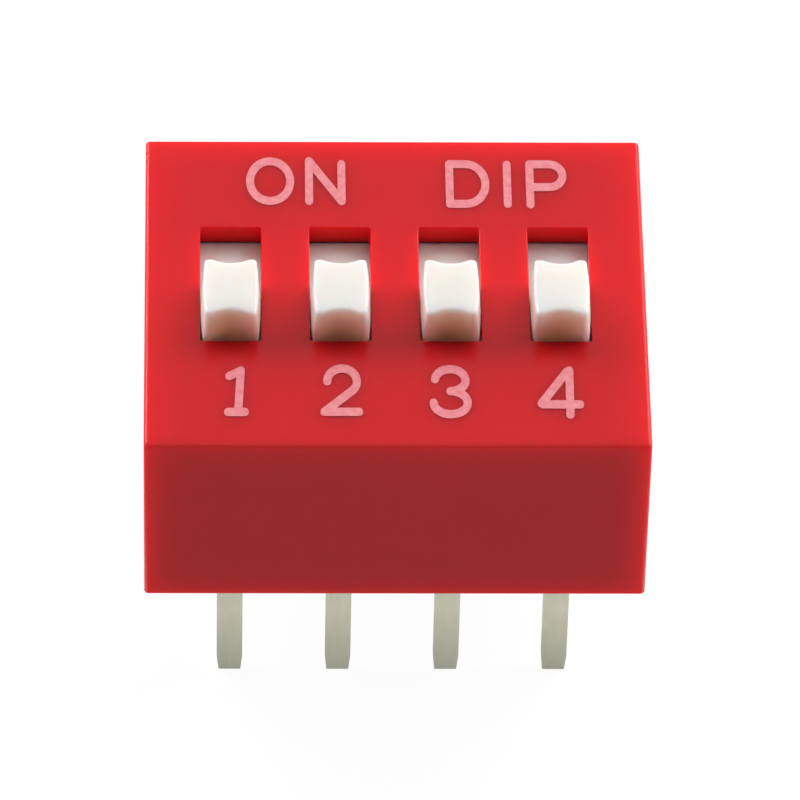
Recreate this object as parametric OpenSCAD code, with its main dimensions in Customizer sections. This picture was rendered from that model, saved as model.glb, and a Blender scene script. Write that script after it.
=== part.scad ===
// Slide DIP switch with four poles, for through-hole mounting.
//
// The frame: X runs along the row of sliders, from number 1 to number 4. -Y is the
// numbered side, where a slider is OFF, and +Y is the ON side. Z = 0 is the board's
// surface, on which the standoff pad under the base rests, and the pins reach below it.
// Every slider is drawn in its OFF position.
//
// From the board up: the pad, the base's floor with the terminals let into it, the
// contact chambers between the rails, the sliders' skirts on those rails, the slider's
// plate, the cover's top wall, and the knobs above it.

/* [Row] */
// Distance from one slider to the next, and from one pin to the next
pitch = 2.54; // [2.4:0.02:2.8]
// Distance between the two rows of pins
row_span = 7.62; // [7.2:0.02:8.2]

/* [Slider] */
// Width of the knob across the middle of its bowed sides, where it leaves the cover
knob_w = 1.39; // [1.2:0.01:1.5]
// Length of the knob along its travel, where it leaves the cover
knob_l = 1.88; // [1.4:0.02:2.2]
// Height of the knob above the cover's top face
knob_h = 0.82; // [0.4:0.02:1.6]
// How far each long side bows out in its middle
knob_bow = 0.06; // [0.03:0.01:0.1]
// How far each side leans in from the cover's top face up to the knob's top
knob_draft = 0.04; // [0.01:0.005:0.08]
// Radius of the knob's upright corners
knob_corner_r = 0.16; // [0.08:0.01:0.2]
// Radius of the knob's top edges
knob_edge_r = 0.1; // [0.03:0.01:0.15]
// How deep each end of the knob is scooped out for a fingertip or a pen
scoop_depth = 0.16; // [0.05:0.01:0.25]
// Width of the horn that the scoop leaves at each side
scoop_horn = 0.2; // [0.12:0.01:0.3]
// Travel from OFF to ON
travel = 1.7; // [1.4:0.05:2.4]
// Thickness of the slider's plate
plate_t = 0.8; // [0.5:0.05:1.1]
// Thickness of the skirts under the plate's long edges
skirt_t = 0.3; // [0.2:0.02:0.36]
// Height of the skirts
skirt_h = 0.4; // [0.3:0.05:0.7]
// How far the plate still reaches past the slot's end at the end of the travel
slot_overlap = 0.07; // [0.02:0.01:0.3]
// Diameter of the peg that holds the contact
peg_d = 0.5; // [0.36:0.02:0.6]
// How far the peg stands out below the contact
peg_head = 0.14; // [0.05:0.01:0.25]
// Radius of the detent bumps on the plate, beside the slot
bump_r = 0.2; // [0.1:0.02:0.3]
// Width of the detent bumps
bump_w = 0.14; // [0.08:0.01:0.16]

/* [Clearances] */
// Gap between the knob and each long side of its slot
slot_side_gap = 0.03; // [0.02:0.005:0.06]
// Gap between the knob and the slot's end at each end of the travel
slot_end_gap = 0.04; // [0.03:0.01:0.2]
// Gap that a slider runs with, beside and above it and over the rails
run_gap = 0.05; // [0.03:0.01:0.08]
// Gap between a detent bump and the cover between the two ends of the travel
bump_gap = 0.01; // [0.005:0.005:0.02]
// Gap between the base and the cover
fit_gap = 0.05; // [0.02:0.01:0.1]
// Gap round a terminal in its slot, and round the peg in its hole
insert_gap = 0.02; // [0.01:0.005:0.04]
// Gap between the wipers and the contact pads as drawn, with the spring unloaded
wiper_gap = 0.02; // [0.01:0.01:0.05]
// Room between the plate's end and the cover's inner wall at the ON end of the travel
plate_end_gap = 0.15; // [0.05:0.05:0.6]

/* [Cover] */
// Thickness of the cover's top wall
top_wall = 0.55; // [0.4:0.05:0.9]
// Thickness of the front and back walls
side_wall = 0.7; // [0.5:0.05:1]
// Thickness of the two end walls
end_wall = 0.6; // [0.45:0.05:0.9]
// How far the end walls step in above the base, to guide the outer sliders
end_guide = 0.31; // [0.2:0.01:0.5]
// Thickness of the rib between two sliders
rib_t = 0.38; // [0.3:0.02:0.5]
// How far the slots' middle lies towards the ON side
slot_shift = 0.2; // [0:0.05:0.4]
// Radius of the cover's upright corners
corner_r = 0.08; // [0.04:0.02:0.4]
// Radius of the edges round the top face
edge_r = 0.12; // [0.04:0.02:0.4]
// Width of the latch window in each end wall
latch_w = 2.6; // [1.8:0.1:3.6]
// Height of the latch window
latch_h = 0.8; // [0.6:0.05:1]
// Height of the window's lower edge above the cover's rim
latch_up = 0.9; // [0.6:0.05:1.2]

/* [Base] */
// Gap that the standoff pad keeps under the cover's rim
standoff = 0.3; // [0.1:0.05:0.8]
// Radius of the standoff pad's corners
pad_r = 0.3; // [0.1:0.05:0.6]
// Length of the standoff pad along the row
pad_l = 8.4; // [6:0.2:9]
// Width of the standoff pad between the rows of pins
pad_w = 3.6; // [2:0.2:5]
// How far the base's underside lies above the cover's rim
rim_recess = 0.1; // [0:0.02:0.2]
// Thickness of the base's floor
floor_t = 2.3; // [1.8:0.1:2.8]
// Height of the contact chambers, from the floor to the top of the rails
chamber_h = 0.75; // [0.6:0.05:1.2]
// How far each rail reaches under a slider's skirt
ledge = 0.33; // [0.24:0.01:0.4]
// Wall that the base keeps outside the terminals
web = 0.265; // [0.2:0.01:0.5]
// How far a latch tooth reaches into the cover's end wall
tooth = 0.4; // [0.2:0.02:0.44]

/* [Terminals] */
// Thickness of the sheet that the terminals are stamped from
blade_t = 0.25; // [0.2:0.01:0.3]
// Width of a pin
pin_w = 0.6; // [0.4:0.02:0.7]
// Length of the pins below the board's surface
pin_l = 3.46; // [2.5:0.1:5]
// Length of the narrowing at a pin's tip
tip_l = 0.4; // [0.2:0.05:0.6]
// How much narrower a pin is on each side at its tip
tip_in = 0.06; // [0.03:0.01:0.1]
// Depth of a terminal's shoulder below the floor's surface
shoulder_z = 1.1; // [0.8:0.1:1.4]
// Gap between a contact pad and each side of its chamber
pad_margin = 0.14; // [0.08:0.01:0.2]
// How far the contact pads stand out of the floor
pad_proud = 0.05; // [0.02:0.01:0.1]
// Inside radius of a terminal's bend
bend_r = 0.1; // [0.05:0.01:0.2]

/* [Contact] */
// Thickness of the contact's spring strip
strip_t = 0.12; // [0.08:0.01:0.16]
// Distance from the contact's middle to each wiper
reach = 1.6; // [1.45:0.05:1.75]
// Half length of the flat that lies against the slider
flat_l = 0.5; // [0.42:0.02:0.6]
// Gap between the strip and each side of the chamber
strip_margin = 0.25; // [0.15:0.01:0.35]
// Width of the slit that splits each arm into two fingers
slit_w = 0.14; // [0.08:0.01:0.24]
// Radius of the bow under each wiper
wiper_r = 0.3; // [0.2:0.02:0.4]
// How far the front pad reaches past the wiper when the slider is ON
pad_lap = 0.4; // [0.2:0.05:0.6]
// Distance from the wiper to the back pad when the slider is OFF
break_gap = 0.6; // [0.4:0.05:0.8]

/* [Hidden] */

$fn = 48;
// Extra length with which a cut passes through a face
past = 0.5;
poles = 4;

// Heights, from the board up
rim_z = standoff;
under_z = rim_z + rim_recess;
floor_z = under_z + floor_t;
rail_z = floor_z + chamber_h;
skirt_z = rail_z + run_gap;
plate_z = skirt_z + skirt_h;
ceiling_z = plate_z + plate_t + run_gap;
top_z = ceiling_z + top_wall;
knob_z = top_z + knob_h;
pad_z = floor_z + pad_proud;

// Along the row
lane_w = pitch - rib_t;
plate_w = lane_w - 2 * run_gap;
chamber_w = lane_w - 2 * ledge;
guide_x = pitch * (poles - 1) / 2 + lane_w / 2;
cavity_w = 2 * (guide_x + end_guide);
cover_w = cavity_w + 2 * end_wall;
base_w = cavity_w - 2 * fit_gap;
slot_w = knob_w + 2 * slot_side_gap;
bump_x = (slot_w + plate_w) / 4;

// Along the travel
slot_l = knob_l + travel + 2 * slot_end_gap;
plate_l = slot_l + travel + 2 * slot_overlap;
plate_room = 2 * (slot_shift + travel / 2 + plate_l / 2 + plate_end_gap);
base_room = row_span + blade_t + 2 * (web + fit_gap);
cavity_d = max(plate_room, base_room);
cover_d = cavity_d + 2 * side_wall;
base_d = cavity_d - 2 * fit_gap;
off_y = slot_shift - travel / 2;
on_y = slot_shift + travel / 2;

// Terminals and contact
blade_w = chamber_w - 2 * pad_margin;
strip_w = chamber_w - 2 * strip_margin;
front_pad_end = on_y - reach + pad_lap;
back_pad_end = off_y + reach + break_gap;
shoulder_top = floor_z - shoulder_z;
strip_mid_z = plate_z - strip_t / 2;
wiper_mid_z = pad_z + wiper_gap + strip_t / 2;
bump_h = run_gap - bump_gap;

// X of a pole, counted from 1
function pole_x(i) = pitch * (i - (poles + 1) / 2);

// A rectangle about the origin with round corners
module round_rect(w, d, r) {
    square([w - 2 * r, d], center = true);
    square([w, d - 2 * r], center = true);
    for (x = [-1, 1], y = [-1, 1])
        translate([x * (w / 2 - r), y * (d / 2 - r)]) circle(r);
}

// A rectangle that stands on the X axis with its two upper corners round
module arch(w, h, r) {
    translate([-w / 2, 0]) square([w, h - r]);
    translate([-w / 2 + r, 0]) square([w - 2 * r, h]);
    for (x = [-1, 1])
        translate([x * (w / 2 - r), h - r]) circle(r);
}

// The same shape with upright sides up to straight, and leaning in by lean above it
module drafted_arch(w, h, r, straight, lean) {
    tilt = atan(lean / (h - straight));
    back = r / tan(45 + tilt / 2);
    top = w / 2 - lean;
    side = [[w / 2, 0], [w / 2, straight],
            [top + back * sin(tilt), h - back * cos(tilt)], [top - back, h]];
    polygon(concat(side, [for (k = [3 : -1 : 0]) [-side[k][0], side[k][1]]]));
    for (x = [-1, 1])
        translate([x * (top - back), h - r]) circle(r);
}

// Extrudes a shape drawn in Y and Z over a width along X, about the origin
module along_x(w) {
    translate([-w / 2, 0, 0]) rotate([90, 0, 90]) linear_extrude(w) children();
}

// Extrudes a shape drawn in X and Z over a depth along Y, about the origin
module along_y(d) {
    translate([0, d / 2, 0]) rotate([90, 0, 0]) linear_extrude(d) children();
}

// A block from z = 0 up with round upright corners and round top edges
module soft_block(w, d, h, r_corner, r_edge) {
    intersection() {
        linear_extrude(h) round_rect(w, d, r_corner);
        along_y(d) arch(w, h, r_edge);
        along_x(w) arch(d, h, r_edge);
    }
}

// A block given by its width and depth about a centre, and its two heights
module block(x, y, w, d, z_low, z_high) {
    translate([x - w / 2, y - d / 2, z_low]) cube([w, d, z_high - z_low]);
}

// The detent bumps of a slider that stands at y, one on each side of its slot, or the
// pockets for them with a gap all round
module bumps(i, y, gap = 0) {
    for (s = [-1, 1])
        translate([pole_x(i) + s * bump_x, y, plate_z + plate_t + bump_h - bump_r])
            along_x(bump_w + 2 * gap) circle(bump_r + gap);
}

// The cover: a cap with a slot over each slider, ribs between the sliders, pockets for
// their detents, stepped end walls and a latch window in each end
module cover() {
    color("#d23437")
    difference() {
        translate([0, 0, rim_z])
            soft_block(cover_w, cover_d, top_z - rim_z, corner_r, edge_r);
        block(0, 0, cavity_w, cavity_d, rim_z - past, rail_z + fit_gap);
        for (i = [1 : poles]) {
            block(pole_x(i), 0, lane_w, cavity_d, rail_z, ceiling_z);
            block(pole_x(i), slot_shift, slot_w, slot_l, ceiling_z - past, top_z + past);
            for (y = [off_y, on_y])
                bumps(i, y, run_gap);
        }
        for (s = [-1, 1])
            block(s * (cover_w - end_wall) / 2, 0, end_wall + past, latch_w,
                  rim_z + latch_up, rim_z + latch_up + latch_h);
    }
}

// Outline of a latch tooth in X and Z, from the base's end out: a flat underside that
// holds the window's lower edge, and a ramp above it that spreads the cover
module tooth_outline() {
    low = rim_z + latch_up + fit_gap;
    high = rim_z + latch_up + latch_h - fit_gap;
    out = fit_gap + tooth;
    polygon([[0, low], [out, low], [out, (2 * low + high) / 3], [fit_gap, high], [0, high]]);
}

// The slot that holds a terminal: a recess for its pad, deeper at the bend, a wide
// part down to the shoulder and a narrow part for the pin
module terminal_slot(i, side, pad_end) {
    leg_y = side * row_span / 2;
    outer_y = leg_y + side * (blade_t / 2 + insert_gap);
    inner_y = pad_end - side * insert_gap;
    bend_end = outer_y - side * (bend_r + blade_t + 2 * insert_gap);
    wide = blade_w + 2 * insert_gap;
    leg_w = blade_t + 2 * insert_gap;
    block(pole_x(i), (outer_y + inner_y) / 2, wide, abs(outer_y - inner_y),
          pad_z - blade_t - insert_gap, floor_z + past);
    block(pole_x(i), (outer_y + bend_end) / 2, wide, abs(outer_y - bend_end),
          pad_z - blade_t - bend_r - insert_gap, floor_z + past);
    block(pole_x(i), leg_y, wide, leg_w, shoulder_top, floor_z);
    block(pole_x(i), leg_y, pin_w + 2 * insert_gap, leg_w, under_z - past, shoulder_top + past);
}

// The base: a tray with chambers between its rails, slots for the terminals, a latch
// tooth on each end and a standoff pad underneath
module base() {
    color("#26272a")
    difference() {
        union() {
            block(0, 0, base_w, base_d, under_z, rail_z);
            linear_extrude(under_z) round_rect(pad_l, pad_w, pad_r);
            for (turn = [0, 180])
                rotate([0, 0, turn]) translate([base_w / 2, 0, 0])
                    along_y(latch_w - 2 * fit_gap) tooth_outline();
        }
        for (i = [1 : poles]) {
            block(pole_x(i), 0, chamber_w, row_span + blade_t + 2 * insert_gap, floor_z, rail_z + past);
            terminal_slot(i, -1, front_pad_end);
            terminal_slot(i, 1, back_pad_end);
        }
    }
}

// A terminal's side view in Y and Z, with its leg on Y = 0 and its pad towards +Y
module blade_profile(pad_len) {
    outer_r = bend_r + blade_t;
    in_y = -blade_t / 2;
    difference() {
        union() {
            translate([in_y, -pin_l]) square([blade_t, pin_l + pad_z - outer_r]);
            translate([in_y + outer_r, pad_z - blade_t]) square([pad_len - in_y - outer_r, blade_t]);
            intersection() {
                translate([in_y + outer_r, pad_z - outer_r]) circle(outer_r);
                translate([in_y, pad_z - outer_r]) square([outer_r, outer_r]);
            }
        }
        translate([in_y + outer_r, pad_z - outer_r]) circle(bend_r);
    }
}

// A terminal's front view in X and Z: the pin with its narrowed tip, and the wide part
module blade_front() {
    half = pin_w / 2;
    wide = blade_w / 2;
    high = pad_z + past;
    polygon([[-half + tip_in, -pin_l], [half - tip_in, -pin_l], [half, -pin_l + tip_l],
             [half, shoulder_top], [wide, shoulder_top], [wide, high],
             [-wide, high], [-wide, shoulder_top], [-half, shoulder_top],
             [-half, -pin_l + tip_l]]);
}

// The wedge that thins a pin to its tip, seen in Y and Z
module tip_wedge() {
    half = blade_t / 2;
    for (s = [-1, 1])
        polygon([[s * (half - tip_in), -pin_l - past], [s * (half + past), -pin_l - past],
                 [s * (half + past), -pin_l + tip_l], [s * half, -pin_l + tip_l],
                 [s * (half - tip_in), -pin_l]]);
}

// A terminal with its leg on the origin and its pad towards +Y
module terminal(pad_len) {
    color("#b4b6a2")
    difference() {
        intersection() {
            along_x(blade_w) blade_profile(pad_len);
            along_y(2 * (pad_len + row_span)) blade_front();
        }
        along_x(blade_w + past) tip_wedge();
    }
}

// A terminal of the front row, with the long pad that its wiper never leaves
module terminal_front(i) {
    translate([pole_x(i), -row_span / 2, 0]) terminal(front_pad_end + row_span / 2);
}

// A terminal of the back row, with the short pad that its wiper meets when ON
module terminal_back(i) {
    translate([pole_x(i), row_span / 2, 0]) rotate([0, 0, 180])
        terminal(row_span / 2 - back_pad_end);
}

// Radius of an arc from its chord's half length and its rise
function arc_radius(chord, rise) = (chord * chord + rise * rise) / (2 * rise);

// A rectangle about the origin with its two long sides bowed and its corners round
module barrel(w, d, bow, r) {
    bow_r = arc_radius(d / 2, bow);
    centre_x = bow_r - w / 2;
    corner_y = d / 2 - r;
    corner_x = sqrt(pow(bow_r - r, 2) - pow(corner_y, 2)) - centre_x;
    intersection() {
        translate([centre_x, 0]) circle(bow_r, $fn = 180);
        translate([-centre_x, 0]) circle(bow_r, $fn = 180);
        square([w, 2 * corner_y * bow_r / (bow_r - r)], center = true);
    }
    square([2 * corner_x, d], center = true);
    for (x = [-1, 1], y = [-1, 1])
        translate([x * corner_x, y * corner_y]) circle(r);
}

// The knob's outline in plan: each end is hollowed by a wide arc
module knob_outline() {
    scoop_r = arc_radius(knob_w / 2 - scoop_horn, scoop_depth);
    difference() {
        barrel(knob_w, knob_l, knob_bow, knob_corner_r);
        for (s = [-1, 1])
            translate([0, s * (knob_l / 2 + scoop_r - scoop_depth)]) circle(scoop_r, $fn = 96);
    }
}

// A slider: the knob on its plate, the detent bumps beside it, two skirts that run on
// the rails, and the peg
module actuator(i) {
    color("#f1f0ea") {
        bumps(i, off_y);
        translate([pole_x(i), off_y, 0]) slider_body();
    }
}

// The slider without its bumps, standing on the origin
module slider_body() {
    intersection() {
        translate([0, 0, plate_z]) linear_extrude(knob_z - plate_z) knob_outline();
        translate([0, 0, plate_z]) along_y(knob_l + past)
            drafted_arch(knob_w, knob_z - plate_z, knob_edge_r, top_z - plate_z, knob_draft);
        translate([0, 0, plate_z]) along_x(knob_w + past)
            drafted_arch(knob_l, knob_z - plate_z, knob_edge_r, top_z - plate_z, knob_draft);
    }
    block(0, 0, plate_w, plate_l, plate_z, plate_z + plate_t);
    for (s = [-1, 1])
        block(s * (plate_w - skirt_t) / 2, 0, skirt_t, plate_l, skirt_z, plate_z + skirt_h / 2);
    translate([0, 0, plate_z - strip_t - peg_head])
        cylinder(d = peg_d, h = strip_t + peg_head + plate_t / 2);
}

// Points along one arm of the contact, in Y and Z, from the flat out to its tip: an
// easy S down from the flat, then the round bow under the wiper
function arm_mid() =
    let (steps = 12, bow_steps = 8, turn = 55,
         drop = strip_mid_z - wiper_mid_z, bow_r = wiper_r + strip_t / 2)
    concat(
        [[-flat_l / 2, strip_mid_z]],
        [for (k = [0 : steps])
            let (u = k / steps)
            [flat_l + u * (reach - flat_l), strip_mid_z - drop * (1 - cos(180 * u)) / 2]],
        [for (k = [1 : bow_steps])
            let (a = turn * k / bow_steps)
            [reach + bow_r * sin(a), wiper_mid_z + bow_r * (1 - cos(a))]]);

// The direction of a line of points at point k
function heading(line, k) =
    let (ahead = line[min(k + 1, len(line) - 1)], behind = line[max(k - 1, 0)],
         step = ahead - behind)
    step / norm(step);

// A line of points moved sideways by a distance
function beside(line, away) =
    [for (k = [0 : len(line) - 1])
        let (way = heading(line, k))
        line[k] + away * [-way[1], way[0]]];

// The side view of one arm, as a strip of even thickness along its middle line
module arm_profile() {
    line = arm_mid();
    upper = beside(line, strip_t / 2);
    lower = beside(line, -strip_t / 2);
    count = len(line);
    polygon(concat(upper, [for (k = [1 : count]) lower[count - k]]));
}

// A moving contact: a flat with a hole for the slider's peg, and an arm of two fingers
// towards each row of pins
module contact(i) {
    color("#cfa65a")
    translate([pole_x(i), off_y, 0])
    difference() {
        for (turn = [0, 180])
            rotate([0, 0, turn]) along_x(strip_w) arm_profile();
        for (s = [-1, 1])
            block(0, s * (flat_l + reach), slit_w, 2 * reach, floor_z - past, plate_z + past);
        translate([0, 0, plate_z - strip_t - past])
            cylinder(d = peg_d + 2 * insert_gap, h = strip_t + 2 * past);
    }
}

cover();
base();
for (i = [1 : poles]) {
    terminal_front(i);
    terminal_back(i);
    actuator(i);
    contact(i);
}
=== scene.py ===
"""Looks of a slide switch block with four poles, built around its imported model.

X runs along the row of sliders, -Y is the numbered side and +Y the ON side. Z = 0 is the
circuit board's surface, and the pins reach below it. Every slider stands at OFF. The sizes
below are in millimetres, and MM turns them into metres. Angles are in degrees.
"""

import math

import bmesh
import bpy
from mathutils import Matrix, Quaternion, Vector


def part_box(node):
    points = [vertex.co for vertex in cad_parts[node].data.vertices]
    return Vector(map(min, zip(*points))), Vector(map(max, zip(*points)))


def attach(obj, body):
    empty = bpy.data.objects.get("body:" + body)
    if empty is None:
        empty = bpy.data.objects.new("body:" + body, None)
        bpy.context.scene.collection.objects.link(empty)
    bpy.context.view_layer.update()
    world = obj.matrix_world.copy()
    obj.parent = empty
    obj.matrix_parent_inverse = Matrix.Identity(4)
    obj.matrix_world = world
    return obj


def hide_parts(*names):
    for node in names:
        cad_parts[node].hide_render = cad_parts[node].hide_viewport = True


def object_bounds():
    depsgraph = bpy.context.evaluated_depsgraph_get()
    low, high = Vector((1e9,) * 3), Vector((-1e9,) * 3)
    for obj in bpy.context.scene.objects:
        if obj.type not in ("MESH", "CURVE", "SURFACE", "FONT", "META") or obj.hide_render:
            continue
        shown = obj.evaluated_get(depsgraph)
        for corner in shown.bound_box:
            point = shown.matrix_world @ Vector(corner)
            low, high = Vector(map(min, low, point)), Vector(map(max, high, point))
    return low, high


MM = 0.001

# ---------------------------------------------------------------- sizes of the object

POLES = 4
PITCH = 2.54
ROW_SPAN = 7.62

# Cover. Below CAVITY_STEP_Z its inside is one room. Above it there is a lane for each slider,
# with a rib between two lanes. The lanes start at RAIL_Z, the top of the base's rails.
TOP_Z = 5.3
TOP_WALL = 0.51
SIDE_WALL = 0.7
END_WALL = 0.6
RIB = 0.38
CAVITY_STEP_Z = 3.5
RAIL_Z = 3.45
SLOT_W = 1.41
SLOT_L = 3.71
SLOT_Y = 0.225
SLOT_CORNER = 0.06
SLOT_EDGE = 0.03
COVER_EDGE = 0.1
COVER_RIM_EDGE = 0.05

# Latch windows, one in each end wall of the cover
LATCH_W = 2.6
LATCH_LOW = 1.2
LATCH_HIGH = 2.0

# Travel of a slider, and the place of its middle
TRAVEL = 1.7
MID_TRAVEL_Y = 0.2

# Knob. BOW is how far its long sides bulge, SCOOP how deep its ends are hollowed, and HORN
# how much of an end is left to each side of the hollow.
KNOB_W = 1.38
KNOB_L = 1.88
KNOB_BOW = 0.06
KNOB_CORNER = 0.18
KNOB_DRAFT = 0.05
KNOB_EDGE = 0.08
SCOOP = 0.14
HORN = 0.2
HORN_EDGE = 0.04
CROWN_STEPS = 5

# Plate under the knob, with a skirt along each side and a peg for the contact
PLATE_Z = 3.9
PLATE_T = 0.865
SKIRT_T = 0.3
SKIRT_Z = 3.5
PEG_R = 0.25
SLIDER_EDGE = 0.03

# Detent bumps on the plate's shoulders, and the room around them in the cover's pockets
BUMP_R = 0.2
BUMP_W = 0.14
BUMP_H = 0.04
BUMP_X = 0.88
POCKET_CLEAR = 0.05

# Terminals
BLADE_T = 0.25
BLADE_W = 1.22
PIN_W = 0.6
TIP_L = 0.5
TIP_IN = 0.04
SHOULDER_Z = 1.6
PAD_Z = 2.75
BEND_R = 0.1
BEND_STEPS = 8
STAMPED_EDGE = 0.02

BASE_EDGE = 0.04

# Printed legends. The type is drawn with a round pen, and then stretched to its height.
PEN = 0.185
TYPE_STRETCH = 1.4
INK_UP = 0.012
INK_DOWN = 0.004

# ---------------------------------------------------------------- how shapes are cut

# How far a part or a tool runs into what lies next to it, and how far a tool stands out of
# the piece that it cuts
OVERLAP = 0.2
PAST = 1.0

# Places closer than NEAR count as one, and vertices closer than WELD are merged. An edge or
# a face's normal lies along an axis when that axis has at least the ALIGNED part of it.
NEAR = 0.005
WELD = 0.0005
ALIGNED = 0.99

# Straight pieces in a full circle
SMALL_ROUND = 32
SCOOP_ROUND = 120
BOW_ROUND = 480

# Straight pieces in a pen stroke's end, and the longest turn of one in an arc
CAP_STEPS = 8
ARC_TURN = 8

# ---------------------------------------------------------------- camera and light

AIM = (0.174, 0.0, 1.638)
AZIMUTH = -1.86
ELEVATION = 46.27
ROLL = 1.446
DISTANCE = 212
VIEW_ANGLE = 5.063

# Softboxes: name, azimuth, elevation, side and level. The level is the light on a surface
# that faces the lamp. At 1, a colour there renders as it is written.
SOFTBOX_DISTANCE = 300
SOFTBOXES = (
    ("left_softbox", -102, 12, 120, 0.38),
    ("right_softbox", 102, 12, 120, 0.44),
    ("back_left_softbox", -138, 32, 200, 0.62),
    ("back_right_softbox", 138, 32, 200, 0.45),
    ("right_high_softbox", 120, 50, 160, 0.25),
    ("overhead_softbox", 0, 80, 120, 0.08),
)

# Floor: its side, its glow on the object, and how bright it is to the camera in full shade,
# with how much the lamps add to that.
FLOOR_SIDE = 400
FLOOR_GLOW = 0.14
FLOOR_SHADE = 0.94
FLOOR_LIT = 0.12

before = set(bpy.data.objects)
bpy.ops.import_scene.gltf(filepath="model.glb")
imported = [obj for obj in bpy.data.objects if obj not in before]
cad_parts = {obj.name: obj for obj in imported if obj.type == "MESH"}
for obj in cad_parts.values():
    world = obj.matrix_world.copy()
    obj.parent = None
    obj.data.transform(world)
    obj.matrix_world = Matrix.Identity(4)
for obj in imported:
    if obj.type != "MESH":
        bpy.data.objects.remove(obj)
CAD_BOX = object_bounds()

# ---------------------------------------------------------------- places


def pole_x(pole):
    """X of a pole, counted from 1."""
    return PITCH * (pole - (POLES + 1) / 2)


def node_box(node):
    """The low and high corners of a CAD node."""
    return [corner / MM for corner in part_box(node)]


def arc_radius(half_chord, height):
    """The radius of an arc that rises to a height over a chord."""
    return (half_chord ** 2 + height ** 2) / (2 * height)


def direction(azimuth, elevation):
    """The way from the object to a camera or lamp. Azimuth 0 is the numbered side."""
    turn, rise = math.radians(azimuth), math.radians(elevation)
    return Vector((math.sin(turn) * math.cos(rise), -math.cos(turn) * math.cos(rise),
                   math.sin(rise)))


# ---------------------------------------------------------------- modelling by hand


def only(piece):
    """Selects one object alone and makes it the active one."""
    bpy.ops.object.select_all(action="DESELECT")
    piece.select_set(True)
    bpy.context.view_layer.objects.active = piece


def settle(name):
    """Names the object that was just added, and moves its place into its mesh."""
    piece = bpy.context.object
    piece.name = name
    piece.data.name = name
    only(piece)
    bpy.ops.object.transform_apply(location=True, rotation=True, scale=True)
    return piece


def block(name, low, high):
    """A rectangular block between two corners."""
    low, high = Vector(low) * MM, Vector(high) * MM
    bpy.ops.mesh.primitive_cube_add(size=1, location=(low + high) / 2, scale=high - low)
    return settle(name)


def rod(name, centre, radius, length, axis, sides=SMALL_ROUND):
    """A round rod about its centre, along X or Z."""
    turn = {"X": (0, math.pi / 2, 0), "Z": (0, 0, 0)}[axis]
    bpy.ops.mesh.primitive_cylinder_add(
        vertices=sides, radius=radius * MM, depth=length * MM,
        location=Vector(centre) * MM, rotation=turn)
    return settle(name)


def pick(piece, kind, wanted):
    """Enters edit mode on a piece with only the wanted edges, faces or vertices selected."""
    only(piece)
    bpy.ops.object.mode_set(mode="EDIT")
    bpy.ops.mesh.select_mode(type=kind)
    bpy.ops.mesh.select_all(action="DESELECT")
    mesh = bmesh.from_edit_mesh(piece.data)
    elements = {"EDGE": mesh.edges, "FACE": mesh.faces, "VERT": mesh.verts}[kind]
    for element in elements:
        if wanted(element):
            element.select_set(True)
    mesh.select_flush_mode()
    bmesh.update_edit_mesh(piece.data)


def leave_edit():
    bpy.ops.object.mode_set(mode="OBJECT")


def faces_up(face):
    return face.normal.z > ALIGNED


def faces_down(face):
    return face.normal.z < -ALIGNED


def extrude(x, y, z):
    """Draws the selected faces out by a step, in edit mode."""
    bpy.ops.mesh.extrude_region_move(
        TRANSFORM_OT_translate={"value": (x * MM, y * MM, z * MM)})


def resize(scale, centre):
    """Scales the selection about a centre, in edit mode."""
    bpy.ops.transform.resize(value=scale, center_override=Vector(centre) * MM)


def middle(edge):
    """The middle of an edge."""
    return (edge.verts[0].co + edge.verts[1].co) / 2 / MM


def lies_at(edge, axis, place):
    """Whether an edge lies wholly at a place on an axis, 0 to 2 for X to Z."""
    return all(abs(vert.co[axis] / MM - place) < NEAR for vert in edge.verts)


def runs_along(edge, axis):
    """Whether an edge runs along an axis, 0 to 2 for X to Z."""
    way = edge.verts[1].co - edge.verts[0].co
    return way.length > 0 and abs(way[axis]) > ALIGNED * way.length


def round_edges(piece, wanted, radius, segments):
    """Rounds the wanted edges of a piece."""
    pick(piece, "EDGE", wanted)
    bpy.ops.mesh.bevel(offset=radius * MM, segments=segments, profile=0.5, affect="EDGES")
    leave_edit()


def weld(piece):
    """Merges a piece's doubled vertices, and leaves it in edit mode with all selected."""
    pick(piece, "VERT", lambda vert: True)
    bpy.ops.mesh.remove_doubles(threshold=WELD * MM)


def apply_modifier(piece, kind, **settings):
    """Adds a modifier to a piece with its settings, and applies it."""
    only(piece)
    modifier = piece.modifiers.new(kind.lower(), kind)
    for name, value in settings.items():
        setattr(modifier, name, value)
    bpy.ops.object.modifier_apply(modifier=modifier.name)


def combine(piece, tool, operation):
    """Works a tool into a piece by a boolean operation, and clears the tool away."""
    apply_modifier(piece, "BOOLEAN", operation=operation, object=tool, solver="EXACT")
    bpy.data.objects.remove(tool)


def cut(piece, tool):
    combine(piece, tool, "DIFFERENCE")


def join(piece, tool):
    combine(piece, tool, "UNION")


def soften(piece, radius, angle=40):
    """Rounds every edge of a piece that is sharper than an angle."""
    apply_modifier(piece, "BEVEL", width=radius * MM, segments=2, limit_method="ANGLE",
                   angle_limit=math.radians(angle), use_clamp_overlap=True,
                   miter_outer="MITER_ARC")


def smooth(piece, angle=35):
    """Shades a piece smooth, but for its sharp edges, and keeps its flats flat."""
    only(piece)
    bpy.ops.object.shade_smooth_by_angle(angle=math.radians(angle))
    apply_modifier(piece, "WEIGHTED_NORMAL", keep_sharp=True, weight=100)


def copy_of(piece, name, shift):
    """A copy of a piece with its own mesh, shifted."""
    only(piece)
    bpy.ops.object.duplicate()
    bpy.ops.transform.translate(value=Vector(shift) * MM)
    return settle(name)


def row_of(piece, stem):
    """The piece for pole 1, and copies of it for the other poles."""
    return [piece] + [copy_of(piece, f"{stem}_{pole}", (pole_x(pole) - pole_x(1), 0, 0))
                      for pole in range(2, POLES + 1)]


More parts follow.
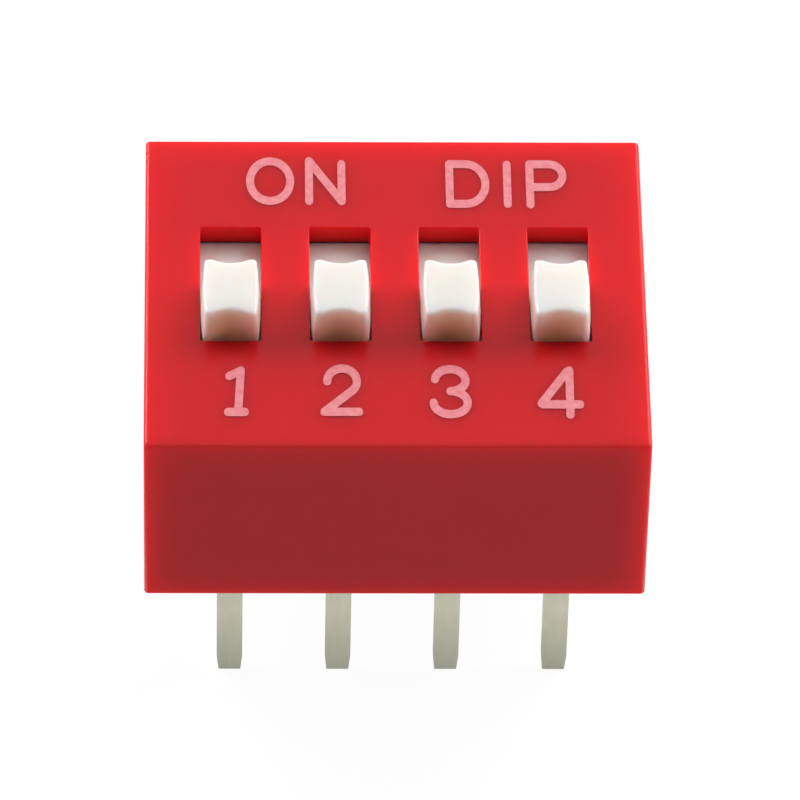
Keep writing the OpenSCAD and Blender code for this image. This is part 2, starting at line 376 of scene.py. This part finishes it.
def merged_copy(node, name):
    """A copy of a CAD node's mesh as a piece of its own, with its triangles merged."""
    only(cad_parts[node])
    bpy.ops.object.duplicate()
    piece = bpy.context.object
    piece.parent = None
    for key in list(piece.keys()):
        del piece[key]
    piece.name = name
    piece.data.name = name
    weld(piece)
    bpy.ops.mesh.dissolve_limited(angle_limit=math.radians(0.5))
    leave_edit()
    return piece


def dress(piece, material, body, slot, *nodes):
    """Gives a piece its material and its body, and hides the nodes that it stands for. The slot
    is not used.
    """
    piece.data.materials.clear()
    piece.data.materials.append(material)
    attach(piece, body)
    if nodes:
        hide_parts(*nodes)


# ---------------------------------------------------------------- materials


def linear(hex_colour):
    """An sRGB hex colour as the linear RGBA that a shader takes."""
    made = []
    for place in (0, 2, 4):
        value = int(hex_colour[place:place + 2], 16) / 255
        made.append(value / 12.92 if value <= 0.04045 else ((value + 0.055) / 1.055) ** 2.4)
    return (*made, 1.0)


def add(tree, kind, settings=None, inputs=None):
    """Adds a node: settings are its own options, and inputs are its sockets, each set to a
    value or linked from another node's socket."""
    node = tree.nodes.new(kind)
    for name, value in (settings or {}).items():
        setattr(node, name, value)
    for name, value in (inputs or {}).items():
        if isinstance(value, bpy.types.NodeSocket):
            tree.links.new(value, node.inputs[name])
        else:
            node.inputs[name].default_value = value
    return node


def new_material(name):
    """An empty material and its node tree."""
    material = bpy.data.materials.new(name)
    material.use_nodes = True
    material.node_tree.nodes.clear()
    return material, material.node_tree


def per_mm(size):
    """The scale of a noise whose spots are about a size across."""
    return 1 / (size * MM)


def pbt_moulded_red():
    """PBT moulded in a red masterbatch, against a finely spark-eroded tool: an even, deep red
    with a soft sheen, and light that creeps a little way in at the edges."""
    material, tree = new_material("pbt_moulded_red")
    place = add(tree, "ShaderNodeTexCoord").outputs["Object"]
    # The melt's flow leaves faint clouds a few millimetres long. The tool's grain is drawn
    # several times as coarse as it is, or it wouldn't show.
    flow = add(tree, "ShaderNodeTexNoise", None, {
        "Vector": place, "Scale": per_mm(2.2), "Detail": 3.0, "Roughness": 0.5})
    grain = add(tree, "ShaderNodeTexNoise", None, {
        "Vector": place, "Scale": per_mm(0.09), "Detail": 2.0, "Roughness": 0.6})
    colour = add(tree, "ShaderNodeMix", {"data_type": "RGBA"}, {
        "Factor": flow.outputs["Fac"], "A": linear("dc0e18"), "B": linear("e3121c")})
    sheen = add(tree, "ShaderNodeMapRange", None, {
        "Value": grain.outputs["Fac"], "From Min": 0.3, "From Max": 0.7,
        "To Min": 0.18, "To Max": 0.26})
    relief = add(tree, "ShaderNodeBump", None, {
        "Height": grain.outputs["Fac"], "Strength": 0.06, "Distance": 0.01 * MM})
    surface = add(tree, "ShaderNodeBsdfPrincipled", None, {
        "Base Color": colour.outputs["Result"], "Roughness": sheen.outputs["Result"],
        "Normal": relief.outputs["Normal"], "IOR": 1.5, "Specular IOR Level": 0.22,
        "Subsurface Weight": 1.0, "Subsurface Scale": 1.0 * MM,
        "Subsurface Radius": (1.0, 0.25, 0.2)})
    add(tree, "ShaderNodeOutputMaterial", None, {"Surface": surface.outputs["BSDF"]})
    return material


def acetal_moulded_white():
    """Acetal, moulded: milky white with a waxy gloss. Light from the top face glows some way
    down its ends, and warms as it goes."""
    material, tree = new_material("acetal_moulded_white")
    place = add(tree, "ShaderNodeTexCoord").outputs["Object"]
    # Milky clouds about half a knob wide, and a tool grain drawn coarse enough to show.
    cloud = add(tree, "ShaderNodeTexNoise", None, {
        "Vector": place, "Scale": per_mm(0.7), "Detail": 2.0})
    grain = add(tree, "ShaderNodeTexNoise", None, {
        "Vector": place, "Scale": per_mm(0.06), "Detail": 2.0})
    colour = add(tree, "ShaderNodeMix", {"data_type": "RGBA"}, {
        "Factor": cloud.outputs["Fac"], "A": linear("f7f4e9"), "B": linear("fcfaf2")})
    sheen = add(tree, "ShaderNodeMapRange", None, {
        "Value": grain.outputs["Fac"], "From Min": 0.3, "From Max": 0.7,
        "To Min": 0.3, "To Max": 0.42})
    relief = add(tree, "ShaderNodeBump", None, {
        "Height": grain.outputs["Fac"], "Strength": 0.08, "Distance": 0.006 * MM})
    surface = add(tree, "ShaderNodeBsdfPrincipled", None, {
        "Base Color": colour.outputs["Result"], "Roughness": sheen.outputs["Result"],
        "Normal": relief.outputs["Normal"], "IOR": 1.48,
        "Subsurface Weight": 1.0, "Subsurface Scale": 0.8 * MM,
        "Subsurface Radius": (1.0, 0.65, 0.5)})
    add(tree, "ShaderNodeOutputMaterial", None, {"Surface": surface.outputs["BSDF"]})
    return material


def pbt_moulded_black():
    """Glass-filled PBT, moulded: near black, a little rough, with pale hints of fibre."""
    material, tree = new_material("pbt_moulded_black")
    place = add(tree, "ShaderNodeTexCoord").outputs["Object"]
    # The fibres are a hundredth of a millimetre thick. They are drawn ten times that.
    fibre = add(tree, "ShaderNodeTexNoise", None, {
        "Vector": place, "Scale": per_mm(0.12), "Detail": 4.0, "Distortion": 1.5})
    colour = add(tree, "ShaderNodeValToRGB", None, {"Fac": fibre.outputs["Fac"]})
    dark, pale = colour.color_ramp.elements
    dark.position = 0.4
    dark.color = linear("222326")
    pale.position = 0.75
    pale.color = linear("34363a")
    relief = add(tree, "ShaderNodeBump", None, {
        "Height": fibre.outputs["Fac"], "Strength": 0.2, "Distance": 0.01 * MM})
    surface = add(tree, "ShaderNodeBsdfPrincipled", None, {
        "Base Color": colour.outputs["Color"], "Roughness": 0.52,
        "Normal": relief.outputs["Normal"], "IOR": 1.5})
    add(tree, "ShaderNodeOutputMaterial", None, {"Surface": surface.outputs["BSDF"]})
    return material


def tin_plated_brass():
    """Stamped brass with a matt tin plating: a soft, slightly yellow silver, drawn out in
    faint streaks along the pin, and darker towards the tip in painted shade."""
    material, tree = new_material("tin_plated_brass")
    place = add(tree, "ShaderNodeTexCoord").outputs["Object"]
    # The press draws streaks of 0.05 mm, and the plating's tone drifts over half a millimetre.
    along = add(tree, "ShaderNodeMapping", None, {"Vector": place, "Scale": (1.0, 1.0, 0.08)})
    streak = add(tree, "ShaderNodeTexNoise", None, {
        "Vector": along.outputs["Vector"], "Scale": per_mm(0.05), "Detail": 3.0})
    stain = add(tree, "ShaderNodeTexNoise", None, {
        "Vector": place, "Scale": per_mm(0.5), "Detail": 2.0})
    plated = add(tree, "ShaderNodeMix", {"data_type": "RGBA"}, {
        "Factor": stain.outputs["Fac"], "A": linear("bbbba6"), "B": linear("c6c6b4")})
    # Painted shade: the lower two millimetres darken towards the tip.
    height = add(tree, "ShaderNodeSeparateXYZ", None, {"Vector": place})
    painted_tip_shade = add(tree, "ShaderNodeMapRange", None, {
        "Value": height.outputs["Z"], "From Min": -1.4 * MM, "From Max": -3.4 * MM})
    colour = add(tree, "ShaderNodeMix", {"data_type": "RGBA"}, {
        "Factor": painted_tip_shade.outputs["Result"], "A": plated.outputs["Result"],
        "B": linear("9fa08f")})
    sheen = add(tree, "ShaderNodeMapRange", None, {
        "Value": streak.outputs["Fac"], "From Min": 0.3, "From Max": 0.7,
        "To Min": 0.32, "To Max": 0.5})
    relief = add(tree, "ShaderNodeBump", None, {
        "Height": streak.outputs["Fac"], "Strength": 0.1, "Distance": 0.004 * MM})
    surface = add(tree, "ShaderNodeBsdfPrincipled", None, {
        "Base Color": colour.outputs["Result"], "Roughness": sheen.outputs["Result"],
        "Normal": relief.outputs["Normal"], "Metallic": 1.0})
    add(tree, "ShaderNodeOutputMaterial", None, {"Surface": surface.outputs["BSDF"]})
    return material


def gold_plated_bronze():
    """Phosphor bronze strip with a thin gold plating: warm and bright, with rolling lines."""
    material, tree = new_material("gold_plated_bronze")
    place = add(tree, "ShaderNodeTexCoord").outputs["Object"]
    # Rolling lines run along the strip. They are drawn 0.04 mm wide, coarser than they are.
    along = add(tree, "ShaderNodeMapping", None, {"Vector": place, "Scale": (1.0, 0.06, 1.0)})
    rolled = add(tree, "ShaderNodeTexNoise", None, {
        "Vector": along.outputs["Vector"], "Scale": per_mm(0.04), "Detail": 3.0})
    colour = add(tree, "ShaderNodeMix", {"data_type": "RGBA"}, {
        "Factor": rolled.outputs["Fac"], "A": linear("d9ab55"), "B": linear("e6c072")})
    sheen = add(tree, "ShaderNodeMapRange", None, {
        "Value": rolled.outputs["Fac"], "From Min": 0.3, "From Max": 0.7,
        "To Min": 0.2, "To Max": 0.34})
    surface = add(tree, "ShaderNodeBsdfPrincipled", None, {
        "Base Color": colour.outputs["Result"], "Roughness": sheen.outputs["Result"],
        "Metallic": 1.0})
    add(tree, "ShaderNodeOutputMaterial", None, {"Surface": surface.outputs["BSDF"]})
    return material


def pad_printed_ink():
    """White printing ink, laid so thin that the red shows through it, and a little unevenly."""
    material, tree = new_material("pad_printed_ink")
    place = add(tree, "ShaderNodeTexCoord").outputs["Object"]
    # The pad leaves blotches a little narrower than a stroke.
    blotch = add(tree, "ShaderNodeTexNoise", None, {
        "Vector": place, "Scale": per_mm(0.16), "Detail": 3.0, "Roughness": 0.6})
    amount = add(tree, "ShaderNodeMapRange", None, {
        "Value": blotch.outputs["Fac"], "From Min": 0.35, "From Max": 0.65})
    colour = add(tree, "ShaderNodeMix", {"data_type": "RGBA"}, {
        "Factor": amount.outputs["Result"], "A": linear("ee7f87"), "B": linear("f79aa1")})
    surface = add(tree, "ShaderNodeBsdfPrincipled", None, {
        "Base Color": colour.outputs["Result"], "Roughness": 0.45, "IOR": 1.48})
    add(tree, "ShaderNodeOutputMaterial", None, {"Surface": surface.outputs["BSDF"]})
    return material


# ---------------------------------------------------------------- cover and base


def on_slot_rim(edge):
    """Whether an edge is a straight upper edge of a slot."""
    place = middle(edge)
    at_a_slot = abs(place.y - SLOT_Y) < SLOT_L / 2 + NEAR and any(
        abs(place.x - pole_x(pole)) < SLOT_W / 2 + NEAR for pole in range(1, POLES + 1))
    return (at_a_slot and lies_at(edge, 2, TOP_Z)
            and (runs_along(edge, 0) or runs_along(edge, 1)))


def cut_lane(cover, pole, room_y, ceiling):
    """Cuts one slider's place into the cover: its lane under the top wall, its slot through
    that wall, and the pockets that its detent bumps click into at OFF and ON."""
    x = pole_x(pole)
    half_lane = (PITCH - RIB) / 2
    cut(cover, block("lane", (x - half_lane, -room_y, RAIL_Z),
                     (x + half_lane, room_y, ceiling)))
    slot = block("slot", (x - SLOT_W / 2, SLOT_Y - SLOT_L / 2, ceiling - OVERLAP),
                 (x + SLOT_W / 2, SLOT_Y + SLOT_L / 2, TOP_Z + PAST))
    round_edges(slot, lambda edge: runs_along(edge, 2), SLOT_CORNER, segments=4)
    cut(cover, slot)
    pocket_z = PLATE_Z + PLATE_T + BUMP_H - BUMP_R
    for y in (MID_TRAVEL_Y - TRAVEL / 2, MID_TRAVEL_Y + TRAVEL / 2):
        for side in (-1, 1):
            cut(cover, rod("pocket", (x + side * BUMP_X, y, pocket_z),
                           BUMP_R + POCKET_CLEAR, BUMP_W + 2 * POCKET_CLEAR, "X"))


def make_cover(material):
    """The cover: a cap with its outer edges rounded, hollow from below, with a lane and a
    slot for each slider and a latch window in each end."""
    low, high = node_box("cover")
    cover = block("cover_shell", low, high)
    round_edges(cover, lambda edge: runs_along(edge, 2) or lies_at(edge, 2, high.z),
                COVER_EDGE, segments=5)
    round_edges(cover, lambda edge: lies_at(edge, 2, low.z), COVER_RIM_EDGE, segments=2)
    room_x, room_y = high.x - END_WALL, high.y - SIDE_WALL
    cut(cover, block("cavity", (-room_x, -room_y, low.z - PAST),
                     (room_x, room_y, CAVITY_STEP_Z)))
    for pole in range(1, POLES + 1):
        cut_lane(cover, pole, room_y, high.z - TOP_WALL)
    for side in (-1, 1):
        reach = END_WALL + OVERLAP
        cut(cover, block("window", (side * high.x - reach, -LATCH_W / 2, LATCH_LOW),
                         (side * high.x + reach, LATCH_W / 2, LATCH_HIGH)))
    round_edges(cover, on_slot_rim, SLOT_EDGE, segments=2)
    smooth(cover)
    dress(cover, material, "housing", "cover", "cover")


def make_base(material):
    """The base: the tray with its rails, chambers, latch teeth and standoff pad, its moulded
    edges broken."""
    base = merged_copy("base", "base_tray")
    soften(base, BASE_EDGE, angle=50)
    smooth(base)
    dress(base, material, "housing", "base", "base")


# ---------------------------------------------------------------- sliders


def make_knob(name, x, y, top):
    """A knob up to its top: bowed sides, rounded corners and a scoop in each end, drawn in
    by its draft above the cover, with a rounded top edge."""
    half_w, half_l = KNOB_W / 2, KNOB_L / 2
    foot = PLATE_Z + PLATE_T - OVERLAP
    tool_h = 2 * (TOP_Z - foot) + PAST
    knob = block(name, (x - half_w, y - half_l, foot), (x + half_w, y + half_l, TOP_Z))

    bow_r = arc_radius(half_l, KNOB_BOW)
    for side in (-1, 1):
        centre = (x + side * (half_w - bow_r), y, TOP_Z)
        combine(knob, rod("bow", centre, bow_r, tool_h, "Z", BOW_ROUND), "INTERSECT")
    round_edges(knob, lambda edge: runs_along(edge, 2)
                and abs(abs(middle(edge).y - y) - half_l) < NEAR, KNOB_CORNER, segments=8)

    half_scoop = half_w - HORN
    scoop_r = arc_radius(half_scoop, SCOOP)
    for side in (-1, 1):
        centre = (x, y + side * (half_l + scoop_r - SCOOP), TOP_Z)
        cut(knob, rod("scoop", centre, scoop_r, tool_h, "Z", SCOOP_ROUND))
    round_edges(knob, lambda edge: runs_along(edge, 2)
                and abs(abs(middle(edge).x - x) - half_scoop) < NEAR, HORN_EDGE, segments=3)

    draw_crown(knob, x, y, top)
    return knob


def draw_crown(knob, x, y, top):
    """Draws a knob up from the cover's top: a drafted part, and a quarter round at its edge.
    Each ring is its height above the cover and how far it lies in from the knob's foot."""
    half_w, half_l = KNOB_W / 2, KNOB_L / 2
    rise = top - KNOB_EDGE - TOP_Z
    inset = KNOB_DRAFT * rise / (top - TOP_Z)
    turns = [math.pi / 2 * step / CROWN_STEPS for step in range(1, CROWN_STEPS + 1)]
    rings = [(rise, inset)] + [
        (rise + KNOB_EDGE * math.sin(turn), inset + KNOB_EDGE * (1 - math.cos(turn)))
        for turn in turns]
    pick(knob, "FACE", faces_up)
    last_up, last_in = 0.0, 0.0
    for up, in_by in rings:
        extrude(0, 0, up - last_up)
        resize(((half_w - in_by) / (half_w - last_in), (half_l - in_by) / (half_l - last_in), 1),
               (x, y, TOP_Z + up))
        last_up, last_in = up, in_by
    leave_edit()


def make_plate(low, high):
    """A slider's plate between two corners, with a skirt along each side, a detent bump on
    each shoulder and a peg underneath."""
    x, y = (low.x + high.x) / 2, (low.y + high.y) / 2
    plate_top = PLATE_Z + PLATE_T
    plate = block("plate", (low.x, low.y, PLATE_Z), (high.x, high.y, plate_top))
    for left, right in ((low.x, low.x + SKIRT_T), (high.x - SKIRT_T, high.x)):
        join(plate, block("skirt", (left, low.y, SKIRT_Z), (right, high.y, PLATE_Z + OVERLAP)))

    # Known fault: rounding puts the right skirt's side a hair outside the plate's, and the
    # softening raises a ridge of 0.03 mm where they meet. The closed housing hides it.
    soften(plate, SLIDER_EDGE)
    for side in (-1, 1):
        join(plate, rod("bump", (x + side * BUMP_X, y, plate_top + BUMP_H - BUMP_R),
                        BUMP_R, BUMP_W, "X"))
    peg_top = PLATE_Z + OVERLAP
    join(plate, rod("peg", (x, y, (low.z + peg_top) / 2), PEG_R, peg_top - low.z, "Z"))
    return plate


def make_slider(name, node):
    """A slider at OFF: its knob on its plate."""
    low, high = node_box(node)
    slider = make_knob(name, (low.x + high.x) / 2, (low.y + high.y) / 2, high.z)
    join(slider, make_plate(low, high))
    smooth(slider)
    return slider


# ---------------------------------------------------------------- terminals


def make_terminal(name, node):
    """A terminal, stamped and bent: a pin with a narrowed tip, a wide part above its
    shoulder, a bend, and the contact pad that reaches inwards."""
    low, high = node_box(node)
    x = (low.x + high.x) / 2
    side = -1 if low.y + high.y < 0 else 1
    leg_y = side * ROW_SPAN / 2
    pad_end = high.y if side < 0 else low.y
    blade = block(name, (x - PIN_W / 2, leg_y - BLADE_T / 2, low.z + TIP_L),
                  (x + PIN_W / 2, leg_y + BLADE_T / 2, SHOULDER_Z))
    pick(blade, "FACE", faces_down)
    extrude(0, 0, -TIP_L)
    resize((1 - 2 * TIP_IN / PIN_W, 1 - 2 * TIP_IN / BLADE_T, 1), (x, leg_y, low.z))
    leave_edit()

    # The shoulder is a step of no height: a ring drawn out by nothing and then widened.
    pick(blade, "FACE", faces_up)
    extrude(0, 0, 0)
    resize((BLADE_W / PIN_W, 1, 1), (x, leg_y, SHOULDER_Z))
    bend_z = PAD_Z - BLADE_T - BEND_R
    extrude(0, 0, bend_z - SHOULDER_Z)

    # Known fault: the spin takes its angle the other way round, so the bend goes down and not
    # up. The pad lies 0.45 mm lower than PAD_Z says, and its faces point inwards. The closed
    # housing hides it.
    bend_y = leg_y - side * (BLADE_T / 2 + BEND_R)
    bpy.ops.mesh.spin(steps=BEND_STEPS, angle=side * math.pi / 2, axis=(1, 0, 0),
                      center=Vector((x, bend_y, bend_z)) * MM)
    extrude(0, pad_end - bend_y, 0)
    leave_edit()

    weld(blade)
    bpy.ops.mesh.normals_make_consistent(inside=False)
    leave_edit()
    soften(blade, STAMPED_EDGE)
    smooth(blade)
    return blade


# ---------------------------------------------------------------- printed legends


def arc(x, y, reach_x, reach_y, start, end):
    """Points along an elliptical arc about a centre, from one angle to another."""
    steps = max(2, round(abs(end - start) / ARC_TURN))
    turns = [math.radians(start + (end - start) * step / steps) for step in range(steps + 1)]
    return [(x + reach_x * math.cos(turn), y + reach_y * math.sin(turn)) for turn in turns]


def legends():
    """The place of the middle of each legend, and its strokes about it before stretching."""
    return {
        "on": ((-2.28, 3.57), [
            arc(-0.60, 0, 0.47, 0.47, 0, 180),
            arc(-0.60, 0, 0.47, 0.47, 180, 360),
            [(0.31, -0.47), (0.31, 0.48)],
            [(0.31, 0.48), (1.07, -0.47)],
            [(1.07, -0.47), (1.07, 0.41)],
        ]),
        "dip": ((2.65, 3.49), [
            [(-1.33, -0.47), (-1.33, 0.47)],
            [(-1.33, 0.47), *arc(-0.95, 0, 0.46, 0.47, 90, -90), (-1.33, -0.47)],
            [(0.02, -0.47), (0.02, 0.46)],
            [(0.55, -0.48), (0.55, 0.47)],
            [(0.55, 0.47), *arc(1.01, 0.2, 0.31, 0.27, 90, -90), (0.55, -0.07)],
        ]),
        "1": ((-3.65, -3.24), [
            [(0.07, 0.47), (0.01, -0.45)],
            [(0.06, 0.46), (-0.19, 0.34)],
            [(-0.22, -0.47), (0.16, -0.47)],
        ]),
        "2": ((-1.28, -3.23), [
            [*arc(0.02, 0.22, 0.34, 0.29, 180, -48), (-0.38, -0.46)],
            [(-0.39, -0.47), (0.40, -0.47)],
        ]),
        "3": ((1.25, -3.23), [
            arc(-0.03, 0.25, 0.35, 0.25, 175, -90),
            arc(-0.03, -0.26, 0.39, 0.26, 90, -180),
        ]),
        "4": ((3.73, -3.22), [
            [(0.23, 0.47), (0.22, -0.53)],
            [(0.17, 0.44), (-0.43, -0.28)],
            [(-0.40, -0.30), (0.45, -0.30)],
        ]),
    }


def pen_stroke(path):
    """A thin plate with the outline that a round pen leaves along a smooth path."""
    points = [Vector(point) for point in path]
    last = len(points) - 1
    ways = [(points[min(k + 1, last)] - points[max(k - 1, 0)]).normalized()
            for k in range(last + 1)]
    across = [Vector((-way.y, way.x)) * PEN / 2 for way in ways]

    def cap(point, arm):
        """The half round at a stroke's end, from one side of the path to the other."""
        turns = (-math.pi * step / CAP_STEPS for step in range(1, CAP_STEPS))
        return [point + Vector((arm.x * math.cos(turn) - arm.y * math.sin(turn),
                                arm.x * math.sin(turn) + arm.y * math.cos(turn)))
                for turn in turns]

    outline = ([point + arm for point, arm in zip(points, across)]
               + cap(points[-1], across[-1])
               + [point - arm for point, arm in reversed(list(zip(points, across)))]
               + cap(points[0], -across[0]))
    curve = bpy.data.curves.new("pen_stroke", "CURVE")
    curve.dimensions = "2D"
    curve.fill_mode = "BOTH"
    curve.extrude = (INK_UP + INK_DOWN) / 2 * MM
    spline = curve.splines.new("POLY")
    spline.points.add(len(outline) - 1)
    for vertex, point in zip(spline.points, outline):
        vertex.co = (point.x * MM, point.y * MM, 0, 1)
    spline.use_cyclic_u = True
    plate = bpy.data.objects.new("pen_stroke", curve)
    bpy.context.scene.collection.objects.link(plate)
    only(plate)
    bpy.ops.object.convert(target="MESH")
    piece = bpy.context.object
    weld(piece)
    leave_edit()
    return piece


def make_legend(name, place, strokes, material):
    """One printed legend on the cover's top, its strokes joined and sunk a little into it."""
    legend, *others = [pen_stroke(path) for path in strokes]
    for other in others:
        join(legend, other)
    only(legend)
    legend.scale = (1, TYPE_STRETCH, 1)
    legend.location = Vector((*place, TOP_Z + (INK_UP - INK_DOWN) / 2)) * MM
    settle(f"legend_{name}")
    dress(legend, material, "housing", "cover")


# ---------------------------------------------------------------- stage


def seen_rays(tree):
    """1 for a ray from the camera, off gloss or through glass, and 0 for any other."""
    rays = add(tree, "ShaderNodeLightPath")
    seen = add(tree, "ShaderNodeMath", {"operation": "MAXIMUM"}, {
        0: rays.outputs["Is Camera Ray"], 1: rays.outputs["Is Glossy Ray"]})
    seen = add(tree, "ShaderNodeMath", {"operation": "MAXIMUM"}, {
        0: seen.outputs[0], 1: rays.outputs["Is Transmission Ray"]})
    return seen.outputs[0]


def make_floor():
    """A pale paper sheet at the height of the pins' tips. It bounces light, and glows a
    little, as paper on a light table does. To the camera and in reflections it is lifted to
    white but for the object's shadow, and from below it is clear."""
    bpy.ops.mesh.primitive_plane_add(size=FLOOR_SIDE * MM, location=(0, 0, CAD_BOX[0].z))
    floor = settle("paper_floor")
    material, tree = new_material("white_paper")
    sheet = add(tree, "ShaderNodeBsdfDiffuse", None, {"Color": linear("f2f2f0")})
    backlight = add(tree, "ShaderNodeEmission", None, {
        "Color": (1, 1, 1, 1), "Strength": FLOOR_GLOW})
    paper = add(tree, "ShaderNodeAddShader", None, {
        0: sheet.outputs[0], 1: backlight.outputs[0]})
    lit = add(tree, "ShaderNodeBsdfDiffuse", None, {
        "Color": (FLOOR_LIT, FLOOR_LIT, FLOOR_LIT, 1)})
    shade = add(tree, "ShaderNodeEmission", None, {
        "Color": (1, 1, 1, 1), "Strength": FLOOR_SHADE})
    lifted = add(tree, "ShaderNodeAddShader", None, {0: lit.outputs[0], 1: shade.outputs[0]})
    above = add(tree, "ShaderNodeMixShader", None, {
        0: seen_rays(tree), 1: paper.outputs[0], 2: lifted.outputs[0]})
    below = add(tree, "ShaderNodeBsdfTransparent")
    side = add(tree, "ShaderNodeNewGeometry")
    both = add(tree, "ShaderNodeMixShader", None, {
        0: side.outputs["Backfacing"], 1: above.outputs[0], 2: below.outputs[0]})
    add(tree, "ShaderNodeOutputMaterial", None, {"Surface": both.outputs[0]})
    floor.data.materials.append(material)


def make_world():
    """White to the camera and in reflections, and dark to all other light: the lamps and the
    floor do the lighting."""
    world = bpy.data.worlds.new("light_tent")
    bpy.context.scene.world = world
    world.use_nodes = True
    tree = world.node_tree
    tree.nodes.clear()
    white = add(tree, "ShaderNodeBackground", None, {
        "Color": (1, 1, 1, 1), "Strength": seen_rays(tree)})
    add(tree, "ShaderNodeOutputWorld", None, {"Surface": white.outputs[0]})


def make_softbox(name, azimuth, elevation, side, level):
    """A square softbox that faces the object, as in SOFTBOXES."""
    data = bpy.data.lights.new(name, "AREA")
    data.shape = "SQUARE"
    data.size = side * MM
    data.energy = level * math.pi ** 2 * (SOFTBOX_DISTANCE * MM) ** 2
    lamp = bpy.data.objects.new(name, data)
    bpy.context.scene.collection.objects.link(lamp)
    out = direction(azimuth, elevation)
    lamp.location = out * SOFTBOX_DISTANCE * MM
    lamp.rotation_mode = "QUATERNION"
    lamp.rotation_quaternion = out.to_track_quat("Z", "Y")


def make_camera():
    """A long lens that looks down on the numbered side."""
    data = bpy.data.cameras.new("camera")
    data.sensor_width = 36
    data.angle = math.radians(VIEW_ANGLE)
    data.clip_start = 0.01
    data.clip_end = 10
    camera = bpy.data.objects.new("camera", data)
    bpy.context.scene.collection.objects.link(camera)
    out = direction(AZIMUTH, ELEVATION)
    camera.location = (Vector(AIM) + out * DISTANCE) * MM
    camera.rotation_mode = "QUATERNION"
    camera.rotation_quaternion = out.to_track_quat("Z", "Y") @ Quaternion(
        (0, 0, 1), math.radians(ROLL))
    bpy.context.scene.camera = camera


# ---------------------------------------------------------------- putting it together

make_camera()
make_world()
make_floor()
for softbox in SOFTBOXES:
    make_softbox(*softbox)
bpy.context.scene.view_settings.view_transform = "Standard"

red = pbt_moulded_red()
white = acetal_moulded_white()
black = pbt_moulded_black()
tin = tin_plated_brass()
gold = gold_plated_bronze()
ink = pad_printed_ink()

make_cover(red)
make_base(black)
first_slider = make_slider("slider_1", "actuator_1")
for pole, slider in enumerate(row_of(first_slider, "slider"), 1):
    dress(slider, white, f"slider_{pole}", "slider", f"actuator_{pole}")
for row in ("front", "back"):
    first_blade = make_terminal(f"blade_{row}_1", f"terminal_{row}_1")
    for pole, blade in enumerate(row_of(first_blade, f"blade_{row}"), 1):
        dress(blade, tin, "housing", "terminal", f"terminal_{row}_{pole}")
for name, (place, strokes) in legends().items():
    make_legend(name, place, strokes, ink)

# The contacts are the CAD's own pieces, and only get their finish.
for pole in range(1, POLES + 1):
    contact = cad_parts[f"contact_{pole}"]
    contact.data.materials.clear()
    contact.data.materials.append(gold)
